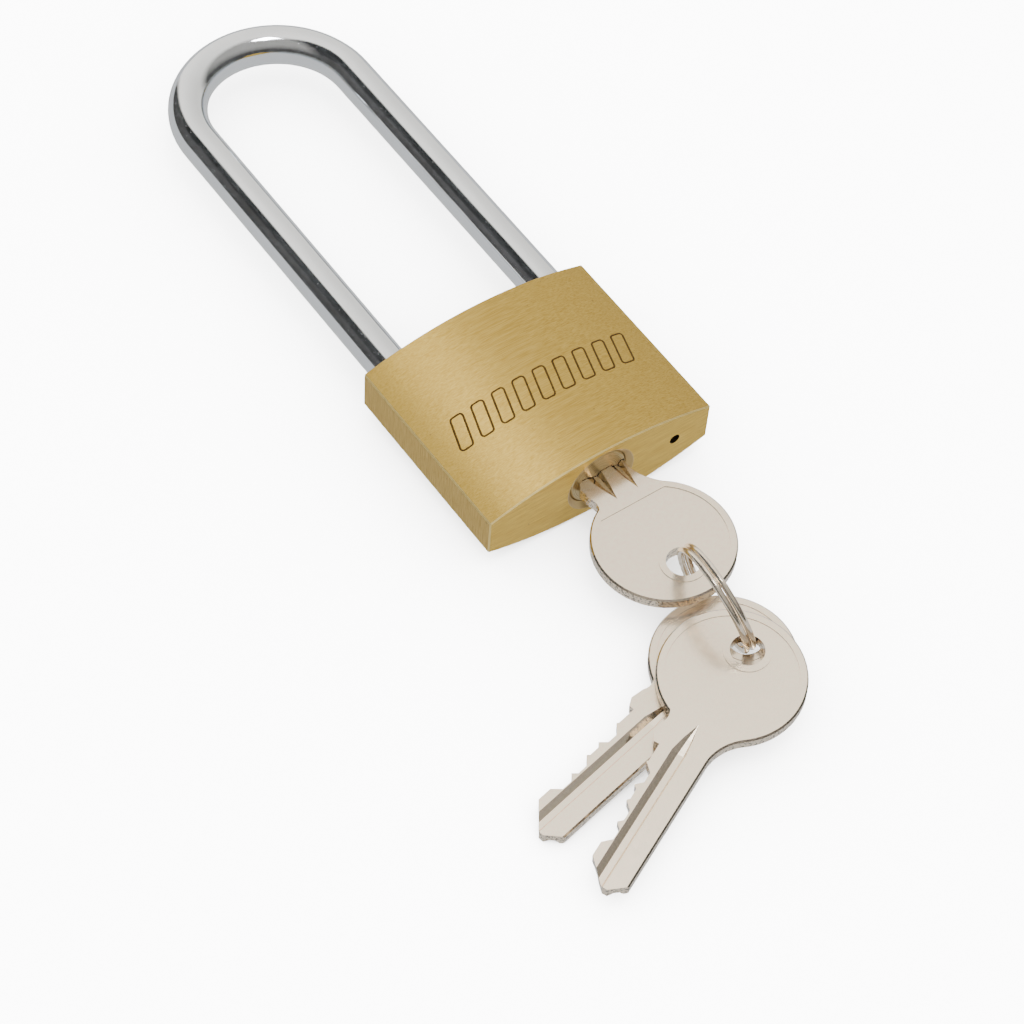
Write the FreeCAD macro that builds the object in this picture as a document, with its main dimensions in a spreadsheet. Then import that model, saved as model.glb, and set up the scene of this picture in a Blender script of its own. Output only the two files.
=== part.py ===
import FreeCAD, Part
import math
import os

import Sketcher

# Long-shackle brass padlock with its three keys on a split ring.
#
# Frame, in millimetres: X runs across the body, Y along the shackle towards its bow, and Z out of
# the front face.  The origin lies on the plug's axis at the body's bottom face.  The lock rests
# on its curved back, so the surface that it and the loose keys lie on is below, at lowest Z.

PINS = 5
SPIRAL_STEPS = 8
ORIGIN = -1          # Sketcher's number for a sketch's own origin and axes

DIMENSIONS = {
    # body
    "body_width": 40.0, "body_length": 33.0, "body_crown": 13.6, "edge_flat": 7.0,
    "edge_bevel": 0.22,
    # shackle
    "bar_radius": 3.19, "leg_x": 14.35, "bow_centre_y": 88.5, "toe_end_y": 22.7,
    "heel_end_y": 9.0, "leg_clearance": 0.09, "shackle_lift": 10.8, "leg_end_bevel": 0.7,
    "toe_room": 0.3, "notch_lip": 0.5, "notch_floor_gap": 0.06, "notch_roof_gap": 0.25,
    "notch_depth_gap": 0.1, "notch_run": 1.3, "slot_low_gap": 0.15, "slot_high_gap": 0.3,
    "slot_side_gap": 0.1,
    # locking: two latches drawn in by spiral slots in the cam
    "latch_y": 30.2, "latch_radius": 1.7, "latch_grip": 1.2, "latch_travel": 3.0,
    "stud_x": 3.9, "stud_radius": 0.45, "slot_half": 0.6, "latch_clearance": 0.05,
    "latch_nose_bevel": 0.7, "latch_shoulder": 0.15, "socket_depth": 2.6, "stud_gap": 0.15,
    # plug and cam
    "plug_radius": 5.0, "bore_radius": 5.08, "mouth_radius": 5.9, "mouth_depth": 0.75,
    "plug_face_y": 0.6, "plug_end_y": 25.9, "cam_y": 26.0, "cam_thick": 1.6,
    "tenon_width": 2.0, "tenon_depth": 0.9, "tenon_length": 8.0, "tenon_gap": 0.03,
    "cam_gap": 0.03, "cam_room": 0.1, "plug_lip": 0.25, "plug_groove_depth": 0.8,
    "plug_groove_gap": 0.1,
    # pin stacks, drilled in from the left side face
    "first_pin_y": 2.8, "pin_pitch": 3.25, "pin_radius": 1.35, "chamber_radius": 1.43,
    "driver_length": 4.0, "cap_length": 2.7, "shear_gap": 0.13, "pin_flat": 0.4,
    "pin_seat": 0.03, "pin_top_gap": 0.2, "pin_bevel": 0.15, "driver_bevel": 0.2,
    "cap_gap": 0.01, "retainer_gap": 0.6, "retainer_end_gap": 0.05,
    # stop pin that keeps the heel leg in the body
    "stop_y": 23.0, "stop_radius": 1.0, "stop_reach": 16.3, "stop_groove_x": 16.1,
    "stop_bevel": 0.2, "stop_fit": 0.02,
    # springs
    "pin_wire": 0.13, "pin_coil": 0.98, "heel_wire": 0.32, "heel_coil": 2.3,
    "heel_bore_y": 3.4, "latch_wire": 0.14, "latch_coil": 0.8, "latch_socket": 1.05,
    "spring_gap": 0.02, "drain_x": 13.6, "drain_radius": 0.85, "drain_overlap": 0.5,
    # key: hole centre at its own origin, blade along its +X, straight back edge at +Y
    "key_thick": 2.0, "key_bow_radius": 10.8, "key_bow_x": 4.6, "key_hole_radius": 2.53,
    "key_back": 3.7, "key_stop_x": 19.6, "key_tip_x": 42.7, "key_axis_offset": 0.8,
    "cut_1": 7.1, "cut_2": 6.0, "cut_3": 6.4, "cut_4": 5.55, "cut_5": 5.35,
    "cut_half": 0.85, "key_land": 6.6, "blade_height": 7.4, "coin_depth": 0.11, "coin_rim": 1.2,
    "coin_collar": 3.55, "coin_chord": 12.3, "groove_depth": 0.65, "key_fit": 0.12,
    "bow_bevel": 0.25, "key_neck_back": 6.7, "key_neck_cut": 4.6, "neck_round": 1.9,
    "neck_round_drop": 0.1, "shoulder_run": 1.2, "shoulder_drop": 0.4, "shoulder_rise": 0.3,
    "tip_cut": 3.5, "tip_low": 3.1, "tip_high": 2.3, "tip_slope": 1.9, "neck_hollow": 0.95,
    # split ring
    "ring_radius": 8.45, "ring_wire": 0.475, "ring_pitch": 1.02,
}

# Where the two loose keys and the ring lie: hole centre at mid-thickness, direction of the blade
# about Z from +X, and how far the blade dips below level.
KEY_2_PLACE = ((-0.25, -35.75, -0.95), 204.5, 3.69)
KEY_3_PLACE = ((1.7, -33.2, -3.05), 190.2, 3.69)
RING_CENTRE = (0.35, -27.25, 1.95)
RING_NORMAL = (-0.964, 0.098, -0.246)
RING_SEGMENT = 0.25      # turns in one stretch of the ring's wire

# Milled grooves of the blade, as X from the plug's axis: outer edge, floor start, floor end, edge.
FRONT_GROOVES = ((-2.2, -1.0, -0.2, 0.4), (2.1, 2.9, 3.5, 4.0))
BACK_GROOVE = (-0.8, 0.2, 1.1, 1.5)
RUN_OUT_START = 19.4
RUN_OUT_TIP = 14.2
RUN_OUT_SHARES = (0.62, 0.04)     # of the full section, half-way along the run-out and at its tip
GROOVE_PROUD = 0.05               # how far each cutting section stands above the blade's face

doc = FreeCAD.newDocument("padlock")
sheet = doc.addObject("Spreadsheet::Sheet", "sizes")
subparts = []


def fill_sheet():
    for row, (alias, size) in enumerate(DIMENSIONS.items(), start=1):
        sheet.set(f"A{row}", alias)
        sheet.set(f"B{row}", str(size))
        sheet.setAlias(f"B{row}", alias)
    doc.recompute()


def size(alias):
    return float(sheet.get(alias))


def cell(text):
    """Write an expression with every alias pointed at the sheet."""
    for alias in sorted(DIMENSIONS, key=len, reverse=True):
        text = text.replace(f"@{alias}", f"{sheet.Name}.{alias}")
    return text


def number(holder, text):
    found = holder.evalExpression(cell(str(text)))
    return float(getattr(found, "Value", found))


# ---------------------------------------------------------------- sketches and features

def new_body(label):
    body = doc.addObject("PartDesign::Body", label)
    body.Label = label
    subparts.append(body)
    return body


def new_sketch(body, role, name, shift=("0", "0", "0")):
    """A sketch on one of the body's own origin planes, shifted along the sketch's axes."""
    sketch = body.newObject("Sketcher::SketchObject", f"{body.Name}_{name}")
    plane = next(item for item in body.Origin.OriginFeatures if item.Role == role)
    sketch.AttachmentSupport = [(plane, "")]
    sketch.MapMode = "FlatFace"
    for axis, text in zip("xyz", shift):
        if text != "0":
            sketch.setExpression(f"AttachmentOffset.Base.{axis}", cell(text))
    doc.recompute()
    return sketch


def bind(sketch, kind, geometry, point, place):
    """Tie one coordinate of a point, measured from the sketch's origin, to an expression, or to
    a plain number where it is worked out in the code."""
    index = sketch.addConstraint(
        Sketcher.Constraint(kind, ORIGIN, 1, geometry, point, number(sketch, place)))
    if isinstance(place, str):
        sketch.setExpression(f"Constraints[{index}]", cell(place))


def draw_outline(sketch, steps):
    """Closed outline.  Each step is the (x, y) of a corner; a third entry (x, y) is the middle of
    the arc that leaves that corner, and without it the edge is straight."""
    corners = [FreeCAD.Vector(number(sketch, s[0]), number(sketch, s[1]), 0) for s in steps]
    first = sketch.GeometryCount
    starts = []
    for place, step in enumerate(steps):
        here = corners[place]
        there = corners[(place + 1) % len(steps)]
        if len(step) == 3:
            middle = FreeCAD.Vector(number(sketch, step[2][0]), number(sketch, step[2][1]), 0)
            clockwise = (middle - here).cross(there - middle).z < 0
            edge = Part.Arc(there, middle, here) if clockwise else Part.Arc(here, middle, there)
        else:
            edge = Part.LineSegment(here, there)
        index = sketch.addGeometry(edge)
        forward = sketch.Geometry[index].StartPoint.distanceToPoint(here) < 1e-6
        starts.append((1, 2) if forward else (2, 1))
        if len(step) == 3:
            bend = sketch.Geometry[index].Radius
            sketch.addConstraint(Sketcher.Constraint("Radius", index, bend))
    for place, step in enumerate(steps):
        following = (place + 1) % len(steps)
        sketch.addConstraint(Sketcher.Constraint(
            "Coincident", first + place, starts[place][1], first + following, starts[following][0]))
        bind(sketch, "DistanceX", first + place, starts[place][0], step[0])
        bind(sketch, "DistanceY", first + place, starts[place][0], step[1])
    doc.recompute()


def draw_circle(sketch, x, y, radius):
    centre = FreeCAD.Vector(number(sketch, x), number(sketch, y), 0)
    circle = Part.Circle(centre, FreeCAD.Vector(0, 0, 1), number(sketch, radius))
    index = sketch.addGeometry(circle)
    bind(sketch, "DistanceX", index, 3, x)
    bind(sketch, "DistanceY", index, 3, y)
    row = sketch.addConstraint(Sketcher.Constraint("Radius", index, number(sketch, radius)))
    sketch.setExpression(f"Constraints[{row}]", cell(radius))
    doc.recompute()


def add_feature(body, kind, sketch, length=None, turned=False, middle=False, axis=None):
    """Pad, Pocket, Revolution or Groove; stops if it leaves the volume unchanged."""
    before = body.Shape.Volume if body.Tip else 0.0
    feature = body.newObject(f"PartDesign::{kind}", f"{sketch.Name}_{kind.lower()}")
    feature.Profile = sketch
    feature.Reversed = turned
    if axis:
        feature.ReferenceAxis = (sketch, [axis])
        feature.Angle = 360.0
    else:
        if hasattr(feature, "SideType"):
            feature.SideType = "Symmetric" if middle else "One side"
        else:
            feature.Midplane = middle
        feature.setExpression("Length", cell(length))
    sketch.Visibility = False
    doc.recompute()
    change = body.Shape.Volume - before
    grows = kind in ("Pad", "Revolution")
    if (change <= 1e-6) if grows else (change >= -1e-6):
        raise RuntimeError(f"{feature.Name} changed the volume by {change:.4f} mm3")
    return feature


def bevel(body, label, edges, width):
    """Chamfer the edges of the body's tip that pass the test."""
    base = body.Tip
    names = [f"Edge{i + 1}" for i, edge in enumerate(base.Shape.Edges) if edges(edge)]
    chamfer = body.newObject("PartDesign::Chamfer", f"{body.Name}_{label}")
    chamfer.Base = (base, names)
    chamfer.setExpression("Size", cell(width))
    doc.recompute()
    return chamfer


def turned_part(label, steps, shift, axis="H_Axis"):
    """A lathe-turned piece: the outline is revolved about the sketch's own axis."""
    body = new_body(label)
    sketch = new_sketch(body, "XY_Plane", "outline", shift)
    draw_outline(sketch, steps)
    add_feature(body, "Revolution", sketch, axis=axis)
    return body


# ---------------------------------------------------------------- body

def pin_y(index):
    return f"@first_pin_y + {index} * @pin_pitch"


def make_lock_body():
    body = new_body("lock_body")
    block = new_sketch(body, "XZ_Plane", "block")
    half, flat, crown = "@body_width / 2", "@edge_flat / 2", "@body_crown / 2"
    draw_outline(block, [(f"-{half}", f"-{flat}", ("0", f"-{crown}")), (half, f"-{flat}"),
                         (half, flat, ("0", crown)), (f"-{half}", flat)])
    add_feature(body, "Pad", block, "@body_length", turned=True)
    bevel(body, "bevel", lambda edge: True, "@edge_bevel")

    mouth = new_sketch(body, "XY_Plane", "plug_bore")
    chamber_top = "@cam_y + @cam_thick + @cam_room"
    draw_outline(mouth, [("0", "0"), ("@mouth_radius", "0"), ("@bore_radius", "@mouth_depth"),
                         ("@bore_radius", chamber_top), ("0", chamber_top)])
    add_feature(body, "Groove", mouth, axis="V_Axis")

    bores = (("toe_bore", "-@leg_x", "@toe_end_y - @toe_room"), ("heel_bore", "@leg_x", "@heel_bore_y"))
    for name, x, bottom in bores:
        sketch = new_sketch(body, "XZ_Plane", name, ("0", "0", "-@body_length"))
        draw_circle(sketch, x, "0", "@bar_radius + @leg_clearance")
        add_feature(body, "Pocket", sketch, f"@body_length - ({bottom})", turned=True)
    drain = new_sketch(body, "XZ_Plane", "drain")
    draw_circle(drain, "@drain_x", "0", "@drain_radius")
    add_feature(body, "Pocket", drain, "@heel_bore_y + @drain_overlap")

    passage = new_sketch(body, "YZ_Plane", "latch_bore")
    draw_circle(passage, "@latch_y", "0", "@latch_radius + @latch_clearance")
    add_feature(body, "Pocket", passage, "2 * @leg_x", middle=True)
    slot = new_sketch(body, "XZ_Plane", "stud_slot", ("0", "0", "-(@cam_y + @cam_thick)"))
    reach, side = "@stud_x + @slot_half", "@slot_half"
    draw_outline(slot, [(f"-({reach})", f"-{side}"), (reach, f"-{side}"),
                        (reach, side), (f"-({reach})", side)])
    add_feature(body, "Pocket", slot, "@latch_y - @cam_y - @cam_thick - 1")

    chambers = new_sketch(body, "YZ_Plane", "chambers", ("0", "0", "-@plug_radius + 1"))
    for index in range(PINS + 1):
        draw_circle(chambers, pin_y(index), "0", "@chamber_radius")
    add_feature(body, "Pocket", chambers, "@body_width / 2")
    stop = new_sketch(body, "YZ_Plane", "stop_hole", ("0", "0", "@leg_x"))
    draw_circle(stop, "@stop_y", "0", "@stop_radius + @stop_fit")
    add_feature(body, "Pocket", stop, "@body_width / 2", turned=True)


# ---------------------------------------------------------------- shackle

def make_shackle():
    body = new_body("shackle")
    path = new_sketch(body, "XY_Plane", "path")
    toe = FreeCAD.Vector(-size("leg_x"), size("toe_end_y"), 0)
    heel = FreeCAD.Vector(size("leg_x"), size("heel_end_y"), 0)
    shoulder_toe = FreeCAD.Vector(-size("leg_x"), size("bow_centre_y"), 0)
    shoulder_heel = FreeCAD.Vector(size("leg_x"), size("bow_centre_y"), 0)
    crest = FreeCAD.Vector(0, size("bow_centre_y") + size("leg_x"), 0)
    path.addGeometry(Part.LineSegment(heel, shoulder_heel))
    path.addGeometry(Part.Arc(shoulder_heel, crest, shoulder_toe))
    path.addGeometry(Part.LineSegment(shoulder_toe, toe))
    path.addConstraint(Sketcher.Constraint("Coincident", 0, 2, 1, 1))
    path.addConstraint(Sketcher.Constraint("Coincident", 1, 2, 2, 1))
    for geometry, point, x, y in ((0, 1, "@leg_x", "@heel_end_y"), (0, 2, "@leg_x", "@bow_centre_y"),
                                  (2, 1, "-@leg_x", "@bow_centre_y"), (2, 2, "-@leg_x", "@toe_end_y")):
        bind(path, "DistanceX", geometry, point, x)
        bind(path, "DistanceY", geometry, point, y)
    bind(path, "DistanceY", 1, 3, "@bow_centre_y")
    section = new_sketch(body, "XZ_Plane", "section", ("0", "0", "-@heel_end_y"))
    draw_circle(section, "@leg_x", "0", "@bar_radius")
    bar = body.newObject("PartDesign::AdditivePipe", "shackle_bar")
    bar.Profile = section
    bar.Spine = (path, ["Edge1", "Edge2", "Edge3"])
    doc.recompute()
    bevel(body, "end_bevel",
          lambda edge: edge.BoundBox.YLength < 1e-6 and edge.BoundBox.YMax < size("toe_end_y") + 1,
          "@leg_end_bevel")

    # the floor of each notch starts right under the latch and then falls away to the leg's face
    floor = "@latch_y - @latch_radius - @notch_floor_gap"
    ramp = "@latch_grip * @shackle_lift / @latch_travel"
    roof = "@latch_y + @latch_radius + @notch_roof_gap"
    face = "(@leg_x - @bar_radius)"
    deep = f"({face} + @latch_grip + @notch_depth_gap)"
    open_side = f"({face} - @notch_lip)"
    for name, sign in (("toe_notch", "-"), ("heel_notch", "")):
        notch = new_sketch(body, "XY_Plane", name)
        draw_outline(notch, [(f"{sign}{open_side}", f"{floor} - {ramp} - @notch_run"),
                             (f"{sign}{deep}", floor), (f"{sign}{deep}", roof),
                             (f"{sign}{open_side}", roof)])
        add_feature(body, "Pocket", notch, "3 * @bar_radius", middle=True)

    slot = new_sketch(body, "XY_Plane", "stop_slot")
    low = "@stop_y - @shackle_lift - @stop_radius - @slot_low_gap"
    high = "@stop_y + @stop_radius + @slot_high_gap"
    outside = "@leg_x + @bar_radius + @notch_lip"
    draw_outline(slot, [("@stop_groove_x", low), (outside, low), (outside, high),
                        ("@stop_groove_x", high)])
    add_feature(body, "Pocket", slot, "2 * (@stop_radius + @slot_side_gap)", middle=True)
    turn = new_sketch(body, "XY_Plane", "turn_groove", ("@leg_x", "0", "0"))
    groove_top = f"{low} + 2 * @stop_radius + @slot_high_gap"
    draw_outline(turn, [("@stop_groove_x - @leg_x", low), ("@bar_radius + @notch_lip", low),
                        ("@bar_radius + @notch_lip", groove_top),
                        ("@stop_groove_x - @leg_x", groove_top)])
    add_feature(body, "Groove", turn, axis="V_Axis")


# ---------------------------------------------------------------- plug, cam and latches

def groove_outline(edges, face, floor, shift=0.0, spare=0.0):
    """Cross-section of one milled groove as (across, height) pairs, open side first."""
    start, floor_start, floor_end, end = (edge + shift for edge in edges)
    return [(start + spare, face), (floor_start + spare, floor), (floor_end - spare, floor),
            (end - spare, face)]


def make_plug():
    body = new_body("plug")
    round_bar = new_sketch(body, "XZ_Plane", "bar", ("0", "0", "-@plug_face_y"))
    draw_circle(round_bar, "0", "0", "@plug_radius")
    add_feature(body, "Pad", round_bar, "@plug_end_y - @plug_face_y", turned=True)
    bevel(body, "lip", lambda edge: edge.BoundBox.YMax < size("plug_face_y") + 1e-6, "@plug_lip")

    keyway = new_sketch(body, "XZ_Plane", "keyway", ("0", "0", "-@plug_face_y"))
    fit = size("key_fit")
    wall = size("key_thick") / 2 + fit
    floor = wall - size("groove_depth")
    back = size("key_back") + size("key_axis_offset") + fit
    top = size("key_back") + size("key_axis_offset") - size("blade_height") - fit
    corners = [(top, wall)]
    for edges in FRONT_GROOVES:
        corners += groove_outline(edges, wall, floor, spare=fit)
    corners += [(back, wall), (back, -wall)]
    corners += reversed(groove_outline(BACK_GROOVE, -wall, -floor, spare=fit))
    corners += [(top, -wall)]
    draw_outline(keyway, corners)
    add_feature(body, "Pocket", keyway, "@plug_end_y - @plug_face_y - @tenon_depth")

    chambers = new_sketch(body, "YZ_Plane", "chambers", ("0", "0", "-0.5"))
    for index in range(PINS):
        draw_circle(chambers, pin_y(index), "0", "@chamber_radius")
    add_feature(body, "Pocket", chambers, "@plug_radius")
    groove = new_sketch(body, "XY_Plane", "retaining_groove")
    low = f"{pin_y(PINS)} - @pin_radius - @plug_groove_gap"
    high = f"{pin_y(PINS)} + @pin_radius + @plug_groove_gap"
    bottom = "@plug_radius - @plug_groove_depth"
    draw_outline(groove, [(bottom, low), ("@plug_radius + 1", low),
                          ("@plug_radius + 1", high), (bottom, high)])
    add_feature(body, "Groove", groove, axis="V_Axis")
    slot = new_sketch(body, "XZ_Plane", "tenon_slot", ("0", "0", "-@plug_end_y"))
    wide, long = "@tenon_width / 2 + @tenon_gap", "@plug_radius + 1"
    draw_outline(slot, [(f"-({wide})", f"-({long})"), (wide, f"-({long})"), (wide, long),
                        (f"-({wide})", long)])
    add_feature(body, "Pocket", slot, "@tenon_depth", turned=True)


def spiral_point(turn, side, reach):
    """Point on the wall of a cam slot, reach from its middle line, which draws in evenly."""
    fall = -size("latch_travel") / 90.0
    radius = size("stud_x") + fall * turn
    angle = math.radians(side + turn)
    outward = FreeCAD.Vector(math.cos(angle), math.sin(angle), 0)
    forward = FreeCAD.Vector(-math.sin(angle), math.cos(angle), 0)
    along = forward * radius + outward * math.degrees(fall)
    across = FreeCAD.Vector(along.y, -along.x, 0).normalize()
    return outward * radius + across * reach


def make_cam():
    body = new_body("plug_cam")
    disc = new_sketch(body, "XZ_Plane", "disc", ("0", "0", "-@cam_y"))
    draw_circle(disc, "0", "0", "@plug_radius - @cam_gap")
    add_feature(body, "Pad", disc, "@cam_thick", turned=True)
    tenon = new_sketch(body, "XZ_Plane", "tenon", ("0", "0", "-@cam_y"))
    wide, long = "@tenon_width / 2", "@tenon_length / 2"
    draw_outline(tenon, [(f"-{wide}", f"-{long}"), (wide, f"-{long}"), (wide, long),
                         (f"-{wide}", long)])
    add_feature(body, "Pad", tenon, "@tenon_depth + 0.05")

    slots = new_sketch(body, "XZ_Plane", "spiral_slots", ("0", "0", "-@cam_y"))
    steps = [90.0 * step / SPIRAL_STEPS for step in range(SPIRAL_STEPS + 1)]
    half = size("slot_half")
    for side in (0.0, 180.0):
        walls = []
        for reach in (half, -half):
            wall = Part.BSplineCurve()
            wall.interpolate([spiral_point(turn, side, reach) for turn in steps])
            walls.append(wall)
            slots.addGeometry(wall)
        for turn, sign in ((0.0, 1), (90.0, -1)):
            outer, inner = (spiral_point(turn, side, reach) for reach in (half, -half))
            across = outer - inner
            beyond = FreeCAD.Vector(across.y, -across.x, 0) * (sign / 2)
            slots.addGeometry(Part.Arc(outer, (outer + inner) * 0.5 + beyond, inner))
    add_feature(body, "Pocket", slots, "@cam_thick")


def make_latch(label, sign):
    body = new_body(label)
    shape = new_sketch(body, "XY_Plane", "outline", ("0", "@latch_y", "0"))
    nose = "(@leg_x - @bar_radius + @latch_grip)"
    inner = "(@stud_x - @stud_radius - @latch_shoulder)"
    socket = f"({inner} + @socket_depth)"
    draw_outline(shape, [(f"{sign}{inner}", "@latch_socket"), (f"{sign}{inner}", "@latch_radius"),
                         (f"{sign}({nose} - @latch_nose_bevel)", "@latch_radius"),
                         (f"{sign}{nose}", "@latch_radius - @latch_nose_bevel"),
                         (f"{sign}{nose}", "0"),
                         (f"{sign}{socket}", "0"), (f"{sign}{socket}", "@latch_socket")])
    add_feature(body, "Revolution", shape, axis="H_Axis")
    foot = "(@cam_y + @stud_gap)"
    stud = new_sketch(body, "XZ_Plane", "stud", ("0", "0", f"-{foot}"))
    draw_circle(stud, f"{sign}@stud_x", "0", "@stud_radius")
    add_feature(body, "Pad", stud, f"@latch_y - {foot} - (@latch_radius + @latch_socket) / 2",
                turned=True)


# ---------------------------------------------------------------- pin stacks

def make_pin_stack(index):
    row = index + 1
    root = f"(@cut_{row} - @key_back - @key_axis_offset + @pin_seat)"
    base = "(@plug_radius - @pin_top_gap)"
    slope = "(@pin_radius - @pin_flat)"
    turned_part(f"key_pin_{row}",
                [(f"-{root}", "0"), (f"-{root}", "@pin_flat"), (f"-({root} + {slope})", "@pin_radius"),
                 (f"-({base} - @pin_bevel)", "@pin_radius"),
                 (f"-{base}", "@pin_radius - @pin_bevel"),
                 (f"-{base}", "0")],
                ("0", pin_y(index), "0"))
    shear = "(@plug_radius + @shear_gap)"
    turned_part(f"driver_pin_{row}",
                [(f"-{shear}", "0"), (f"-{shear}", "@pin_radius - @driver_bevel"),
                 (f"-({shear} + @driver_bevel)", "@pin_radius"),
                 (f"-({shear} + @driver_length)", "@pin_radius"),
                 (f"-({shear} + @driver_length)", "0")],
                ("0", pin_y(index), "0"))
    make_spring(f"pin_spring_{row}", "pin_wire", "pin_coil", turns=7,
                start=(f"-({shear} + @driver_length + @pin_wire + @spring_gap)", pin_y(index), "0"),
                length="@body_width / 2 - @cap_length - @plug_radius - @shear_gap - @driver_length"
                       " - 2 * (@pin_wire + @spring_gap)",
                axis=FreeCAD.Vector(-1, 0, 0))


def make_chamber_cap(index):
    turned_part(f"chamber_cap_{index + 1}",
                [("-@body_width / 2", "0"), ("-@body_width / 2", "@chamber_radius - @cap_gap"),
                 ("-(@body_width / 2 - @cap_length)", "@chamber_radius - @cap_gap"),
                 ("-(@body_width / 2 - @cap_length)", "0")],
                ("0", pin_y(index), "0"))


def make_retaining_pin():
    nose = "(@plug_radius - @retainer_gap)"
    end = "(@body_width / 2 - @cap_length - @retainer_end_gap)"
    turned_part("plug_retaining_pin",
                [(f"-{nose}", "0"), (f"-{nose}", "@pin_radius - @driver_bevel"),
                 (f"-({nose} + @driver_bevel)", "@pin_radius"), (f"-{end}", "@pin_radius"),
                 (f"-{end}", "0")],
                ("0", pin_y(PINS), "0"))


def make_stop_pin():
    turned_part("heel_stop_pin",
                [("@stop_reach", "0"), ("@stop_reach", "@stop_radius - @stop_bevel"),
                 ("@stop_reach + @stop_bevel", "@stop_radius"), ("@body_width / 2", "@stop_radius"),
                 ("@body_width / 2", "0")],
                ("0", "@stop_y", "0"))


# ---------------------------------------------------------------- springs and ring

def make_spring(label, wire, coil, turns, start, length, axis):
    """A coil spring as a round wire swept along a helix; start and length are expressions."""
    helix = doc.addObject("Part::Helix", f"{label}_helix")
    helix.setExpression("Radius", cell(f"@{coil}"))
    helix.setExpression("Height", cell(length))
    helix.setExpression("Pitch", cell(f"({length}) / {turns}"))
    section = doc.addObject("Part::Circle", f"{label}_section")
    section.setExpression("Radius", cell(f"@{wire}"))
    section.setExpression("Placement.Base.x", cell(f"@{coil}"))
    section.Placement.Rotation = FreeCAD.Rotation(FreeCAD.Vector(1, 0, 0), 90)
    sweep = doc.addObject("Part::Sweep", label)
    sweep.Sections = [section]
    sweep.Spine = (helix, ["Edge1"])
    sweep.Solid = True
    sweep.Frenet = True
    sweep.Label = label
    sweep.Placement = FreeCAD.Placement(FreeCAD.Vector(0, 0, 0),
                                        FreeCAD.Rotation(FreeCAD.Vector(0, 0, 1), axis))
    for name, text in zip("xyz", start):
        sweep.setExpression(f"Placement.Base.{name}", cell(text))
    doc.recompute()
    subparts.append(sweep)
    return sweep


def make_springs():
    make_spring("shackle_spring", "heel_wire", "heel_coil", turns=6,
                start=("@leg_x", "@heel_bore_y + @heel_wire + @spring_gap", "0"),
                length="@heel_end_y - @heel_bore_y - 2 * (@heel_wire + @spring_gap)",
                axis=FreeCAD.Vector(0, 1, 0))
    seat = "(@stud_x - @stud_radius - @latch_shoulder + @socket_depth - @latch_wire - @spring_gap)"
    make_spring("latch_spring", "latch_wire", "latch_coil", turns=12,
                start=(f"-{seat}", "@latch_y", "0"), length=f"2 * {seat}",
                axis=FreeCAD.Vector(1, 0, 0))


def make_split_ring():
    ring = make_spring("split_ring", "ring_wire", "ring_radius", turns=2,
                       start=("0", "0", "0"), length="2 * @ring_pitch",
                       axis=FreeCAD.Vector(0, 0, 1))
    ring.Spine[0].SegmentLength = RING_SEGMENT
    doc.recompute()
    ring.Spine = (ring.Spine[0], [f"Edge{i + 1}" for i in range(len(ring.Spine[0].Shape.Edges))])
    normal = FreeCAD.Vector(*RING_NORMAL).normalize()
    down = FreeCAD.Vector(0, 0, -1)
    lean = FreeCAD.Rotation(down, FreeCAD.Vector(), normal, "ZXY")   # the ends meet at the foot
    base = FreeCAD.Vector(*RING_CENTRE) - normal * size("ring_pitch")
    for axis in "xyz":
        ring.setExpression(f"Placement.Base.{axis}", None)
    ring.Placement = FreeCAD.Placement(base, lean)
    doc.recompute()


# ---------------------------------------------------------------- keys

def bitting():
    """Outline of the cut edge from the shoulder to the tip, as (x, y) expressions."""
    first = "@key_stop_x + @first_pin_y - @plug_face_y"
    path = []
    for index in range(PINS):
        depth = f"@cut_{index + 1}"
        middle = f"{first} + {index} * @pin_pitch"
        path += [(f"{middle} - @cut_half", f"@key_back - {depth}"),
                 (f"{middle} + @cut_half", f"@key_back - {depth}")]
        if index + 1 < PINS:
            rise = f"(@pin_pitch - 2 * @cut_half + @cut_{index + 2} - {depth}) / 2"
            path.append((f"{middle} + @cut_half + {rise}", f"@key_back - {depth} - {rise}"))
    path += [(f"{path[-1][0]} + @key_land - @cut_{PINS}", "@key_back - @key_land"),
             ("@key_tip_x - @tip_cut", "@key_back - @key_land")]
    return path


def bow_x_at(across, radius="@key_bow_radius"):
    """X on the blade's side of the bow circle at a distance across from its middle."""
    return f"@key_bow_x + sqrt(({radius})^2 - ({across})^2)"


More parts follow.
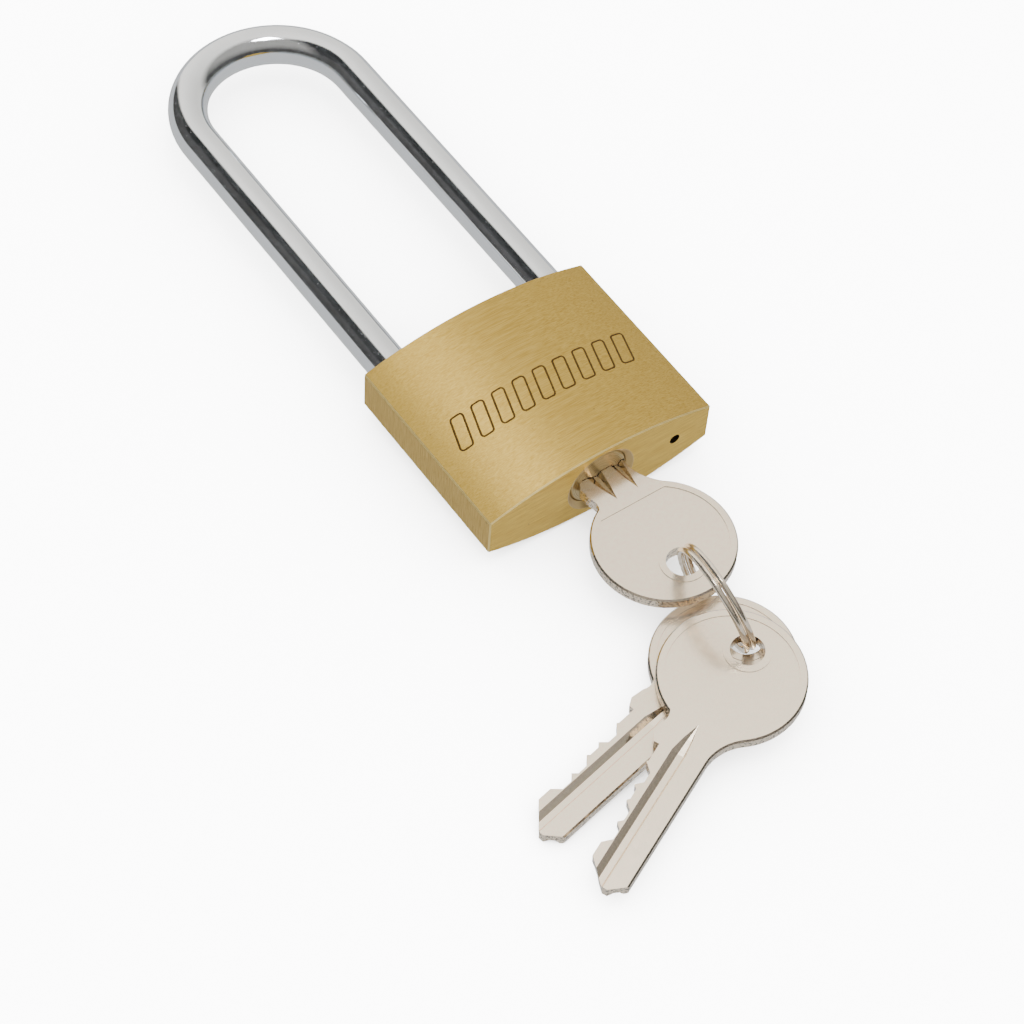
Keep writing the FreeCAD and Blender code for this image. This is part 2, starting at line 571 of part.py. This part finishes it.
def make_key(label, placement):
    body = new_body(label)
    blank = new_sketch(body, "XY_Plane", "blank")
    neck_back, neck_cut = "@key_neck_back", "@key_neck_cut"
    join_cut = bow_x_at(neck_cut)
    corners = [(bow_x_at(neck_back), neck_back, ("@key_bow_x - @key_bow_radius", "0")),
               (join_cut, f"-{neck_cut}", (f"{join_cut} + 1.0", f"-{neck_cut} + 0.15")),
               (f"{join_cut} + @neck_round", f"-{neck_cut} - @neck_round_drop"),
               ("@key_stop_x - @shoulder_run", f"-{neck_cut} - @shoulder_drop"),
               ("@key_stop_x", f"-{neck_cut} + @shoulder_rise"),
               ("@key_stop_x", "@key_back - @cut_1")]
    corners += bitting()
    corners += [("@key_tip_x", "@key_back - @tip_low"), ("@key_tip_x", "@key_back - @tip_high"),
                ("@key_tip_x - @tip_slope", "@key_back"),
                ("@key_stop_x - 1", "@key_back",
                 (f"({bow_x_at(neck_back)} + @key_stop_x) / 2 - 0.9", "@key_back + @neck_hollow"))]
    draw_outline(blank, corners)
    add_feature(body, "Pad", blank, "@key_thick", middle=True)
    radius = size("key_bow_radius")
    bevel(body, "bow_bevel",
          lambda edge: (hasattr(edge.Curve, "Radius") and edge.Length > 2 * radius
                        and abs(edge.Curve.Radius - radius) < 1e-2), "@bow_bevel")

    hole = new_sketch(body, "XY_Plane", "hole")
    draw_circle(hole, "0", "0", "@key_hole_radius")
    add_feature(body, "Pocket", hole, "3 * @key_thick", middle=True)

    # both faces are coined: a low field inside a rim, and a collar left round the hole
    inner = "(@key_bow_radius - @coin_rim)"
    half = f"sqrt(({inner})^2 - (@coin_chord - @key_bow_x)^2)"
    for side, sign in (("front", ""), ("back", "-")):
        coin = new_sketch(body, "XY_Plane", f"coin_{side}", ("0", "0", f"{sign}@key_thick / 2"))
        draw_outline(coin, [("@coin_chord", half, (f"@key_bow_x - {inner}", "0")),
                            ("@coin_chord", f"-{half}")])
        draw_circle(coin, "0", "0", "@coin_collar")
        add_feature(body, "Pocket", coin, "@coin_depth", turned=bool(sign))

    # looking at the side that faces up on a loose key, the single groove is on top
    mill_groove(body, "groove_top", BACK_GROOVE, 1)
    for place, edges in enumerate(FRONT_GROOVES):
        mill_groove(body, f"groove_under_{place + 1}", edges, -1)
    body.Placement = placement


def mill_groove(body, name, edges, face):
    """One groove with a pointed run-out where the round cutter leaves the neck."""
    offset = -size("key_axis_offset")
    surface = size("key_thick") / 2
    floor_middle = (edges[1] + edges[2]) / 2
    sections = []
    stations = ((size("key_tip_x") + 1, 1.0), (RUN_OUT_START, 1.0),
                ((RUN_OUT_START + RUN_OUT_TIP) / 2, RUN_OUT_SHARES[0]),
                (RUN_OUT_TIP, RUN_OUT_SHARES[1]))
    for step, (x, share) in enumerate(stations):
        sketch = new_sketch(body, "YZ_Plane", f"{name}_{step}", ("0", "0", f"{x}"))
        spread = [floor_middle + (edge - floor_middle) * share + offset for edge in edges]
        height = face * (surface - size("groove_depth") * share)
        above = face * (surface + GROOVE_PROUD)
        draw_outline(sketch, [(spread[0], above), (spread[1], height), (spread[2], height),
                              (spread[3], above)])
        sections.append(sketch)
    before = body.Shape.Volume
    loft = body.newObject("PartDesign::SubtractiveLoft", f"{body.Name}_{name}")
    loft.Profile = sections[0]
    loft.Sections = sections[1:]
    loft.Ruled = True
    doc.recompute()
    if body.Shape.Volume > before - 0.1:
        raise RuntimeError(f"{loft.Name} cut nothing")


def lying(place):
    """Placement of a loose key from its hole centre, heading and dip."""
    (x, y, z), heading, dip = place
    turn = FreeCAD.Rotation(FreeCAD.Vector(0, 0, 1), heading)
    return FreeCAD.Placement(FreeCAD.Vector(x, y, z),
                             turn * FreeCAD.Rotation(FreeCAD.Vector(0, 1, 0), dip))


def make_keys():
    # the key in the plug points along +Y with its cut edge towards the pins, at -X
    hole_y = size("plug_face_y") - size("key_stop_x")
    columns = FreeCAD.Matrix(0, 1, 0, size("key_axis_offset"),
                             1, 0, 0, hole_y,
                             0, 0, -1, 0,
                             0, 0, 0, 1)
    make_key("key_1", FreeCAD.Placement(columns))
    make_key("key_2", lying(KEY_2_PLACE))
    make_key("key_3", lying(KEY_3_PLACE))


# ---------------------------------------------------------------- whole lock

def check_and_export():
    os.makedirs("parts", exist_ok=True)
    faulty = [item.Name for item in doc.Objects if {"Invalid", "Error"} & set(item.State)]
    if faulty:
        raise RuntimeError(f"failed objects: {faulty}")
    for part in subparts:
        if part.Shape.isNull() or not part.Shape.isValid():
            raise RuntimeError(f"{part.Label} has no valid shape")
        part.Shape.exportStep(f"parts/{part.Label}.step")
    print(len(subparts), "sub-parts written")


def main():
    fill_sheet()
    make_lock_body()
    make_shackle()
    make_plug()
    make_cam()
    make_latch("toe_latch", "-")
    make_latch("heel_latch", "")
    for index in range(PINS):
        make_pin_stack(index)
    for index in range(PINS + 1):
        make_chamber_cap(index)
    make_retaining_pin()
    make_stop_pin()
    make_springs()
    make_keys()
    make_split_ring()
    doc.recompute()
    check_and_export()


main()
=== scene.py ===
import math

import bpy
from mathutils import Matrix, Vector


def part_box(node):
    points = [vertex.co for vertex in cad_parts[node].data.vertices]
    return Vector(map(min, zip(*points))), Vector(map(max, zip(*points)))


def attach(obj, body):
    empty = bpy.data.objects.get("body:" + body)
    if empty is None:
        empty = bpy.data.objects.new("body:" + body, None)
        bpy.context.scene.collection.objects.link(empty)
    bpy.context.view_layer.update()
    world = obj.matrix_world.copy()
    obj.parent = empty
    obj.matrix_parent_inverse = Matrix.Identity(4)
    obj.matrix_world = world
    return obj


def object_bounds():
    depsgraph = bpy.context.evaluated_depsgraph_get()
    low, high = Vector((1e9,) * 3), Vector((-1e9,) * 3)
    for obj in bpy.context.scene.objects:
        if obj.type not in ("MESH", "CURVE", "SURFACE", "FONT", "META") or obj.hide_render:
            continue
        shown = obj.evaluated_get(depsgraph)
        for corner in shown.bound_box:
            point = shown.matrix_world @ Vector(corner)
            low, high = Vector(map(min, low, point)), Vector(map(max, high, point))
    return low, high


# Long-shackle brass padlock with three nickel-plated keys on a split ring.  Metres, in the CAD
# frame: X across the body, Y along the shackle, Z out of the front face.

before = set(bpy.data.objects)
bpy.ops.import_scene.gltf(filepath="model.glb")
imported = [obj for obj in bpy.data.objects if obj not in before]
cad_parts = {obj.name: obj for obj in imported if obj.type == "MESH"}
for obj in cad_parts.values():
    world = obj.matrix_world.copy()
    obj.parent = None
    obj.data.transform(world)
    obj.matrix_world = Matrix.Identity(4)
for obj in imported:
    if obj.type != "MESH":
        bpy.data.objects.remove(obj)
cad_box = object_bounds()
MM = 0.001

# Where the body's colour changes, each with the width over which it fades: the painted highlight
# on its outer bevels, its plug mouth, and the painted shade in its drain hole
SIDE_BEVEL_X = (19.70 * MM, 19.74 * MM)
FOOT_BEVEL_Y = (0.26 * MM, 0.24 * MM)
MOUTH_RADIUS = (6.05 * MM, 5.95 * MM)
MOUTH_DEPTH = (1.3 * MM, 1.1 * MM)
DRAIN_PLACE = (13.6 * MM, 0.0, 0.0)
DRAIN_RADIUS = (0.90 * MM, 0.86 * MM)

# Light of the tent, as its metal pieces mirror it and as it falls on the table
TABLE_LIGHT = 12.0
TABLE_IN_METAL = 0.9
OPEN_SIDE = (0.985, 0.0, 0.174)
TENT_TINT = (1.0, 0.955, 0.88, 1.0)
WHITE = (1.0, 1.0, 1.0, 1.0)


# ---------------------------------------------------------------- colours and nodes

def srgb(code):
    """Hex colour as the eye sees it, turned to the linear values that a shader takes."""
    parts = [int(code[i:i + 2], 16) / 255 for i in (1, 3, 5)]
    return [c / 12.92 if c <= 0.04045 else ((c + 0.055) / 1.055) ** 2.4 for c in parts] + [1.0]


def add(tree, kind, settings=None, **sockets):
    """Add a node.  Sockets go by name, or by i and their number; an output given to one is
    linked to it."""
    node = tree.nodes.new(kind)
    for name, value in (settings or {}).items():
        setattr(node, name, value)
    for name, value in sockets.items():
        known = name[0] == "i" and name[1:].isdigit()
        socket = node.inputs[int(name[1:]) if known else name.replace("_", " ")]
        if isinstance(value, bpy.types.NodeSocket):
            tree.links.new(value, socket)
        else:
            socket.default_value = value
    return node


def blank(name):
    """A new material with an empty node tree, and its object coordinates."""
    material = bpy.data.materials.new(name)
    material.use_nodes = True
    tree = material.node_tree
    tree.nodes.clear()
    return material, tree, add(tree, "ShaderNodeTexCoord").outputs


def close(tree, shader):
    add(tree, "ShaderNodeOutputMaterial", Surface=shader.outputs[0])


def stretched(tree, place, scale):
    return add(tree, "ShaderNodeMapping", Vector=place, Scale=scale).outputs[0]


def levels(tree, value, low, high, to_low=0.0, to_high=1.0):
    """A value's range from low to high, spread over the range to_low to to_high."""
    node = add(tree, "ShaderNodeMapRange", i0=value, i1=low, i2=high, i3=to_low, i4=to_high)
    return node.outputs[0]


def maths(tree, operation, first, second=0.0):
    return add(tree, "ShaderNodeMath", {"operation": operation}, i0=first, i1=second).outputs[0]


def between(tree, factor, first, second):
    """A number from first to second."""
    return add(tree, "ShaderNodeMix", {"data_type": "FLOAT"}, i0=factor, i2=first,
               i3=second).outputs[0]


def blended(tree, factor, first, second):
    """A colour from first to second."""
    return add(tree, "ShaderNodeMix", {"data_type": "RGBA"}, i0=factor, i6=first,
               i7=second).outputs[2]


def noise(tree, place, scale, detail, roughness=0.5):
    return add(tree, "ShaderNodeTexNoise", Vector=place, Scale=scale, Detail=detail,
               Roughness=roughness).outputs[0]


# ---------------------------------------------------------------- materials

def strongest(tree, normal):
    """The sizes of a normal's X, Y and Z parts, and the largest: 1 on a flat face, less on a
    bevel."""
    ways = add(tree, "ShaderNodeSeparateXYZ", Vector=normal).outputs
    sizes = [maths(tree, "ABSOLUTE", way) for way in ways]
    most = maths(tree, "MAXIMUM", maths(tree, "MAXIMUM", sizes[0], sizes[1]), sizes[2])
    return sizes, most


def from_axis(tree, place):
    """Distance from the plug's axis, which is the Y axis, and the distance along it."""
    ways = add(tree, "ShaderNodeSeparateXYZ", Vector=place).outputs
    flat = add(tree, "ShaderNodeCombineXYZ", X=ways[0], Z=ways[2]).outputs[0]
    reach = add(tree, "ShaderNodeVectorMath", {"operation": "LENGTH"}, i0=flat).outputs["Value"]
    return reach, ways[1]


def brushed_brass():
    """Rolled brass bar, belt-brushed across the body: satin, with short fine streaks that run
    from side to side, and across the two narrow side faces.  Its outer bevels carry a painted
    highlight, its side and end faces are painted lighter, and its drain hole holds painted shade."""
    material, tree, coords = blank("brushed_brass")
    # belt scratches 0.13 mm apart and 4 mm long, with a few broader ones 14 mm long; they run
    # along X on the broad faces and along Z on the side faces
    lays = (((230.0, 7600.0, 7600.0), (70.0, 2300.0, 2300.0)),
            ((7600.0, 7600.0, 260.0), (2300.0, 2300.0, 90.0)))
    scratches = []
    for fine_scale, long_scale in lays:
        fine = noise(tree, stretched(tree, coords["Object"], fine_scale), 1.0, 3.0, 0.7)
        long = noise(tree, stretched(tree, coords["Object"], long_scale), 1.0, 2.0)
        scratches.append(between(tree, 0.15, fine, long))
    (side, end, _), most = strongest(tree, coords["Normal"])
    is_side = maths(tree, "GREATER_THAN", side, 0.8)
    is_end = maths(tree, "GREATER_THAN", end, 0.8)
    streak = between(tree, is_side, *scratches)
    specks = noise(tree, coords["Object"], 1600.0, 1.0)
    broad = blended(tree, levels(tree, streak, 0.36, 0.64), srgb("#967A35"), srgb("#AE934B"))
    # painted light: the narrow side and end faces take a lighter copy of the brass than the broad
    # faces
    painted_lighter_sides = blended(tree, levels(tree, streak, 0.36, 0.64), srgb("#B0903F"), srgb("#D0B058"))
    base = blended(tree, maths(tree, "MAXIMUM", is_side, is_end), broad, painted_lighter_sides)
    base = blended(tree, levels(tree, specks, 0.75, 0.78, 0.0, 0.5), base, srgb("#6E5A35"))
    reach, depth = from_axis(tree, coords["Object"])
    # painted highlight: the outer bevels along the sides and the foot are coloured pale brass,
    # drawing a bright line on the edges
    width = add(tree, "ShaderNodeSeparateXYZ", Vector=coords["Object"]).outputs[0]
    corner = levels(tree, maths(tree, "ABSOLUTE", width), *SIDE_BEVEL_X)
    outside = maths(tree, "MAXIMUM", corner, levels(tree, depth, *FOOT_BEVEL_Y))
    rubbed = maths(tree, "MULTIPLY", levels(tree, most, 0.93, 0.90), outside)
    base = blended(tree, rubbed, base, srgb("#E6CE86"))
    # the plug mouth is countersunk on the lathe, and stays duller than the brushed faces
    mouth = maths(tree, "MULTIPLY", levels(tree, reach, *MOUTH_RADIUS),
                  levels(tree, depth, *MOUTH_DEPTH))
    base = blended(tree, mouth, base, srgb("#BCA26E"))
    # painted shade: the drain hole is coloured near-black brown, for the shade inside it
    from_drain = add(tree, "ShaderNodeVectorMath", {"operation": "SUBTRACT"},
                     i0=coords["Object"], i1=DRAIN_PLACE).outputs[0]
    drain_reach, _ = from_axis(tree, from_drain)
    base = blended(tree, levels(tree, drain_reach, *DRAIN_RADIUS), base, srgb("#2A2112"))
    rough = levels(tree, streak, 0.35, 0.65, 0.46, 0.36)
    bump = add(tree, "ShaderNodeBump", Strength=0.3, Distance=0.008 * MM, Height=streak)
    lay = add(tree, "ShaderNodeMix", {"data_type": "VECTOR"}, i0=is_end, i4=(0.0, 1.0, 0.0),
              i5=(0.0, 0.0, 1.0)).outputs[1]
    shader = add(tree, "ShaderNodeBsdfPrincipled", Base_Color=base, Metallic=1.0, Roughness=rough,
                 Anisotropic=0.8, Normal=bump.outputs[0], Tangent=lay)
    close(tree, shader)
    return material


def turned_brass():
    """Brass rod faced on a lathe: satin with fine rings round its axis, a little warmer."""
    material, tree, coords = blank("turned_brass")
    reach, _ = from_axis(tree, coords["Object"])
    # tool marks 0.12 mm apart
    rings = add(tree, "ShaderNodeTexNoise", {"noise_dimensions": "1D"}, W=reach,
                Scale=8000.0, Detail=2.0).outputs[0]
    base = blended(tree, levels(tree, rings, 0.3, 0.7), srgb("#8C7950"), srgb("#C1AD7C"))
    bump = add(tree, "ShaderNodeBump", Strength=0.4, Distance=0.01 * MM, Height=rings)
    shader = add(tree, "ShaderNodeBsdfPrincipled", Base_Color=base, Metallic=1.0, Roughness=0.3,
                 Normal=bump.outputs[0])
    close(tree, shader)
    return material


def plated_steel():
    """Hardened steel bar, bright zinc-chrome plated over drawn stock: mirror-like, with a few
    pits and drawing marks under the plate."""
    material, tree, coords = blank("plated_steel")
    # pits up to 0.4 mm across, thicker in patches of about 15 mm
    pits = add(tree, "ShaderNodeTexVoronoi", Vector=coords["Object"], Scale=1500.0,
               Randomness=1.0).outputs["Distance"]
    patch = noise(tree, coords["Object"], 70.0, 3.0)
    marks = noise(tree, stretched(tree, coords["Object"], (2600.0, 90.0, 2600.0)), 1.0, 2.0)
    hollow = maths(tree, "LESS_THAN", pits, levels(tree, patch, 0.48, 0.66, 0.0, 0.32))
    height = maths(tree, "SUBTRACT", marks, hollow)
    bump = add(tree, "ShaderNodeBump", Strength=0.3, Distance=0.015 * MM, Height=height)
    base = blended(tree, levels(tree, patch, 0.35, 0.7), srgb("#E8ECF0"), srgb("#E0E4E8"))
    shader = add(tree, "ShaderNodeBsdfPrincipled", Base_Color=base, Metallic=1.0,
                 Roughness=levels(tree, marks, 0.3, 0.7, 0.06, 0.11), Normal=bump.outputs[0])
    close(tree, shader)
    return material


def nickel():
    """Nickel plate over tumbled key blanks: a warm pale grey, satin, with a fine grain and
    handling marks.  It is brighter where it is milled, and the sheared edges are scuffed."""
    material, tree, coords = blank("satin_nickel_plate")
    # tumbling grain 0.15 mm, handling marks 1 mm, shear marks 0.4 mm
    grain = noise(tree, coords["Object"], 6500.0, 2.0)
    marks = noise(tree, coords["Object"], 1100.0, 5.0, 0.65)
    shear = noise(tree, coords["Object"], 2600.0, 3.0)
    (_, _, flat), _ = strongest(tree, coords["Normal"])
    is_edge = levels(tree, flat, 0.85, 0.25)
    base = blended(tree, levels(tree, marks, 0.35, 0.7), srgb("#F0E1CB"), srgb("#E8D9C2"))
    chips = maths(tree, "MULTIPLY", is_edge, levels(tree, shear, 0.52, 0.60))
    base = blended(tree, chips, base, srgb("#A0968A"))
    worn = maths(tree, "MULTIPLY", levels(tree, flat, 0.96, 0.985, 0.55, 1.0),
                 levels(tree, marks, 0.3, 0.7, 0.18, 0.24))
    tumbled = add(tree, "ShaderNodeBump", Strength=0.25, Distance=0.006 * MM, Height=grain)
    scuffed = add(tree, "ShaderNodeBump", Strength=0.8, Distance=0.10 * MM,
                  Height=maths(tree, "MULTIPLY", is_edge, shear), Normal=tumbled.outputs[0])
    shader = add(tree, "ShaderNodeBsdfPrincipled", Base_Color=base, Metallic=1.0, Roughness=worn,
                 Normal=scuffed.outputs[0])
    close(tree, shader)
    return material


def bright_wire():
    """Hard-drawn wire, nickel plated: mirror-bright, with faint drawing marks."""
    material, tree, coords = blank("bright_nickel_wire")
    marks = noise(tree, coords["Object"], 1300.0, 3.0)
    base = blended(tree, levels(tree, marks, 0.35, 0.7), srgb("#EFE3D1"), srgb("#E2D4BE"))
    bump = add(tree, "ShaderNodeBump", Strength=0.3, Distance=0.02 * MM, Height=marks)
    shader = add(tree, "ShaderNodeBsdfPrincipled", Base_Color=base, Metallic=1.0, Roughness=0.14,
                 Normal=bump.outputs[0])
    close(tree, shader)
    return material


def dull_metal(name, light, dark, rough, grain):
    """Inner parts, straight from the lathe, the die or the spring coiler: no polish, and a grain
    of the given size in millimetres."""
    material, tree, coords = blank(name)
    spots = noise(tree, coords["Object"], 1.0 / (grain * MM), 4.0)
    base = blended(tree, levels(tree, spots, 0.3, 0.7), srgb(light), srgb(dark))
    bump = add(tree, "ShaderNodeBump", Strength=0.4, Distance=0.02 * MM, Height=spots)
    shader = add(tree, "ShaderNodeBsdfPrincipled", Base_Color=base, Metallic=1.0,
                 Roughness=levels(tree, spots, 0.3, 0.7, rough, rough + 0.12),
                 Normal=bump.outputs[0])
    close(tree, shader)
    return material


def burnt_line():
    """Laser-marked brass: the line is oxidised dark brown and matt, uneven along its length."""
    material, tree, coords = blank("burnt_line")
    burn = noise(tree, coords["Object"], 3000.0, 2.0)
    base = blended(tree, levels(tree, burn, 0.3, 0.7), srgb("#3A2A12"), srgb("#4C3A1C"))
    shader = add(tree, "ShaderNodeBsdfPrincipled", Base_Color=base, Metallic=1.0, Roughness=0.6)
    close(tree, shader)
    return material


def table_top():
    """Matt white sweep with no gloss.  Metal mirrors it at a set brightness."""
    material, tree, coords = blank("matt_white_sweep")
    tooth = add(tree, "ShaderNodeTexNoise", Vector=coords["Object"], Scale=900.0).outputs[0]
    base = blended(tree, tooth, srgb("#F7F7F7"), srgb("#FAFAFA"))
    paper = add(tree, "ShaderNodeBsdfDiffuse", Color=base)
    dimmer = add(tree, "ShaderNodeEmission", Color=base, Strength=TABLE_IN_METAL)
    path = add(tree, "ShaderNodeLightPath").outputs
    shader = add(tree, "ShaderNodeMixShader", i0=path["Is Glossy Ray"], i1=paper.outputs[0],
                 i2=dimmer.outputs[0])
    close(tree, shader)
    return material


brass = brushed_brass()
plug_brass = turned_brass()
steel = plated_steel()
key_nickel = nickel()
ring_nickel = bright_wire()
pin_silver = dull_metal("nickel_silver_pins", "#BDB9AE", "#A8A397", 0.28, 0.3)
zinc = dull_metal("die_cast_zinc", "#9C9DA0", "#85868A", 0.5, 0.6)
wire = dull_metal("drawn_spring_wire", "#8E8F91", "#747577", 0.3, 0.2)
oxide = burnt_line()

FINISHES = (
    (brass, ("lock_body", "chamber_cap", "heel_stop_pin")),
    (plug_brass, ("plug", "plug_retaining_pin")),
    (steel, ("shackle",)),
    (key_nickel, ("key_1", "key_2", "key_3")),
    (ring_nickel, ("split_ring",)),
    (pin_silver, ("key_pin", "driver_pin", "toe_latch", "heel_latch")),
    (zinc, ("plug_cam",)),
    (wire, ("pin_spring", "latch_spring", "shackle_spring")),
)


def finish_for(node):
    """The finish whose longest name starts the node's name."""
    found = [(len(start), i) for i, (_, starts) in enumerate(FINISHES)
             for start in starts if node.startswith(start)]
    return FINISHES[max(found)[1]][0]


for name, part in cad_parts.items():
    part.data.materials.clear()
    part.data.materials.append(finish_for(name))


# ---------------------------------------------------------------- marking on the front

def group_input(tree, name, kind, value):
    """Name an input of a geometry tree, and return its identifier."""
    item = tree.interface.new_socket(name, in_out="INPUT", socket_type=kind)
    item.default_value = value
    return item.identifier


def marking_tree():
    """A row of slanted, round-cornered bars in outline, wrapped on to the crowned face."""
    tree = bpy.data.node_groups.new("bar_row", "GeometryNodeTree")
    tree.interface.new_socket("Geometry", in_out="INPUT", socket_type="NodeSocketGeometry")
    tree.interface.new_socket("Geometry", in_out="OUTPUT", socket_type="NodeSocketGeometry")
    sizes = {
        "Bars": ("NodeSocketInt", 9), "Pitch": ("NodeSocketFloat", 3.65 * MM),
        "Width": ("NodeSocketFloat", 2.1 * MM), "Height": ("NodeSocketFloat", 5.6 * MM),
        "Slant": ("NodeSocketFloat", 1.7 * MM), "Line": ("NodeSocketFloat", 0.16 * MM),
        "Corner": ("NodeSocketFloat", 0.45 * MM), "Crown radius": ("NodeSocketFloat", 0.06),
        "Crown height": ("NodeSocketFloat", 6.8 * MM), "Row height": ("NodeSocketFloat", 15 * MM),
    }
    known = {name: group_input(tree, name, kind, value) for name, (kind, value) in sizes.items()}
    given = add(tree, "NodeGroupInput").outputs

    gaps = maths(tree, "SUBTRACT", given["Bars"], 1.0)
    start = maths(tree, "MULTIPLY", maths(tree, "MULTIPLY", gaps, given["Pitch"]), -0.5)
    first = add(tree, "ShaderNodeCombineXYZ", X=start, Y=given["Row height"]).outputs[0]
    step = add(tree, "ShaderNodeCombineXYZ", X=given["Pitch"]).outputs[0]
    spots = add(tree, "GeometryNodeMeshLine", Count=given["Bars"], Start_Location=first,
                Offset=step).outputs[0]
    bar = add(tree, "GeometryNodeCurvePrimitiveQuadrilateral", {"mode": "PARALLELOGRAM"},
              Width=given["Width"], Height=given["Height"], Offset=given["Slant"])
    row = add(tree, "GeometryNodeInstanceOnPoints", Points=spots, Instance=bar.outputs[0])
    loose = add(tree, "GeometryNodeRealizeInstances", Geometry=row.outputs[0])
    rounded = add(tree, "GeometryNodeFilletCurve", {"mode": "POLY"}, Curve=loose.outputs[0],
                  Radius=given["Corner"], Count=5, Limit_Radius=True)
    close_set = add(tree, "GeometryNodeResampleCurve", {"mode": "LENGTH"},
                    Curve=rounded.outputs[0], Length=0.3 * MM)
    pen = add(tree, "GeometryNodeCurvePrimitiveCircle", Resolution=6, Radius=given["Line"])
    line = add(tree, "GeometryNodeCurveToMesh", Curve=close_set.outputs[0],
               Profile_Curve=pen.outputs[0])
    spot = add(tree, "GeometryNodeInputPosition").outputs[0]
    x, y, z = add(tree, "ShaderNodeSeparateXYZ", Vector=spot).outputs
    radius = given["Crown radius"]
    squared = maths(tree, "SUBTRACT", maths(tree, "MULTIPLY", radius, radius),
                    maths(tree, "MULTIPLY", x, x))
    dip = maths(tree, "SUBTRACT", radius, maths(tree, "SQRT", squared))
    top = maths(tree, "SUBTRACT", given["Crown height"], dip)
    # the round line is pressed nearly flat, to 0.15 of its height
    lifted = maths(tree, "ADD", top, maths(tree, "MULTIPLY", z, 0.15))
    place = add(tree, "ShaderNodeCombineXYZ", X=x, Y=y, Z=lifted).outputs[0]
    laid = add(tree, "GeometryNodeSetPosition", Geometry=line.outputs[0], Position=place)
    real = add(tree, "GeometryNodeRealizeInstances", Geometry=laid.outputs[0])
    painted = add(tree, "GeometryNodeSetMaterial", Geometry=real.outputs[0], Material=oxide)
    add(tree, "NodeGroupOutput", Geometry=painted.outputs[0])
    return tree, known


def grown(name, tree, values, body):
    """Run a geometry tree with the given inputs, and keep its result as a plain mesh on a body."""
    seed = bpy.data.objects.new(name + "_seed", bpy.data.meshes.new(name + "_seed"))
    bpy.context.scene.collection.objects.link(seed)
    modifier = seed.modifiers.new("grow", "NODES")
    modifier.node_group = tree
    for key, value in values.items():
        modifier[key] = value
    bpy.context.view_layer.update()
    ready = seed.evaluated_get(bpy.context.evaluated_depsgraph_get())
    mesh = bpy.data.meshes.new_from_object(ready)
    bpy.data.objects.remove(seed)
    mesh.name = name
    piece = bpy.data.objects.new(name, mesh)
    bpy.context.scene.collection.objects.link(piece)
    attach(piece, body)


_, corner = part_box("lock_body")
half_flat = 3.5 * MM
rise = corner.z - half_flat
bar_row, inputs = marking_tree()
grown("front_marking", bar_row, {
    inputs["Crown radius"]: (corner.x ** 2 + rise ** 2) / (2 * rise),
    inputs["Crown height"]: corner.z,
    inputs["Row height"]: 15.2 * MM,
}, "case")


# ---------------------------------------------------------------- studio

def make_floor():
    lowest = cad_box[0].z
    reach = 3.0
    corners = [(-reach, -reach, lowest), (reach, -reach, lowest), (reach, reach, lowest),
               (-reach, reach, lowest)]
    mesh = bpy.data.meshes.new("floor")
    mesh.from_pydata(corners, [], [(0, 1, 2, 3)])
    mesh.materials.append(table_top())
    floor = bpy.data.objects.new("floor", mesh)
    bpy.context.scene.collection.objects.link(floor)


def make_sky():
    """A white tent, open to a dark room on the lock's left and dim at its foot, which bright
    metal picks up as dark bands.  The tent is brightest overhead."""
    world = bpy.data.worlds.new("tent")
    world.use_nodes = True
    bpy.context.scene.world = world
    tree = world.node_tree
    tree.nodes.clear()
    look = add(tree, "ShaderNodeTexCoord").outputs["Generated"]
    opening = add(tree, "ShaderNodeVectorMath", {"operation": "DOT_PRODUCT"}, i0=look,
                  i1=OPEN_SIDE).outputs["Value"]
    _, depth, height = add(tree, "ShaderNodeSeparateXYZ", Vector=look).outputs
    dark = levels(tree, height, 0.52, 0.62, 0.05, 0.0)
    tent = levels(tree, opening, 0.1, 0.9, 1.85, 1.25)
    across = between(tree, levels(tree, opening, -0.10, 0.03), dark, tent)
    near = levels(tree, height, 0.3, 0.7, 0.05, 0.45)
    metal_sees = between(tree, levels(tree, depth, -0.20, 0.10), near, across)
    mirrored = add(tree, "ShaderNodeLightPath").outputs["Is Glossy Ray"]
    amount = between(tree, mirrored, TABLE_LIGHT, metal_sees)
    tint = blended(tree, mirrored, WHITE, TENT_TINT)
    back = add(tree, "ShaderNodeBackground", Color=tint, Strength=amount)
    add(tree, "ShaderNodeOutputWorld", Surface=back.outputs[0])


def make_lamp(name, place, aim, width, power):
    data = bpy.data.lights.new(name, "AREA")
    data.shape = "SQUARE"
    data.size = width
    data.energy = power
    lamp = bpy.data.objects.new(name, data)
    lamp.location = place
    lamp.rotation_euler = (Vector(aim) - Vector(place)).to_track_quat("-Z", "Y").to_euler()
    bpy.context.scene.collection.objects.link(lamp)


def make_camera():
    azimuth, elevation, roll = -0.678, 0.94, 0.082
    distance = 431.643 * MM
    target = Vector((-14.42, 2.214, 0.0)) * MM
    back = Vector((math.sin(azimuth) * math.cos(elevation),
                   -math.cos(azimuth) * math.cos(elevation), math.sin(elevation)))
    level = Vector((math.cos(azimuth), math.sin(azimuth), 0.0))
    upright = back.cross(level)
    right = level * math.cos(roll) + upright * math.sin(roll)
    up = upright * math.cos(roll) - level * math.sin(roll)
    data = bpy.data.cameras.new("camera")
    data.sensor_width = 36.0
    data.lens = 104.23
    data.clip_start = 0.01
    data.clip_end = 20.0
    camera = bpy.data.objects.new("camera", data)
    turn = Matrix((right, up, back)).transposed()
    camera.matrix_world = Matrix.Translation(target + back * distance) @ turn.to_4x4()
    bpy.context.scene.collection.objects.link(camera)
    bpy.context.scene.camera = camera


make_floor()
make_sky()
make_lamp("overhead_softbox", (0.02, -0.02, 0.70), (0.0, 0.02, 0.0), 0.16, 2.1)
make_camera()
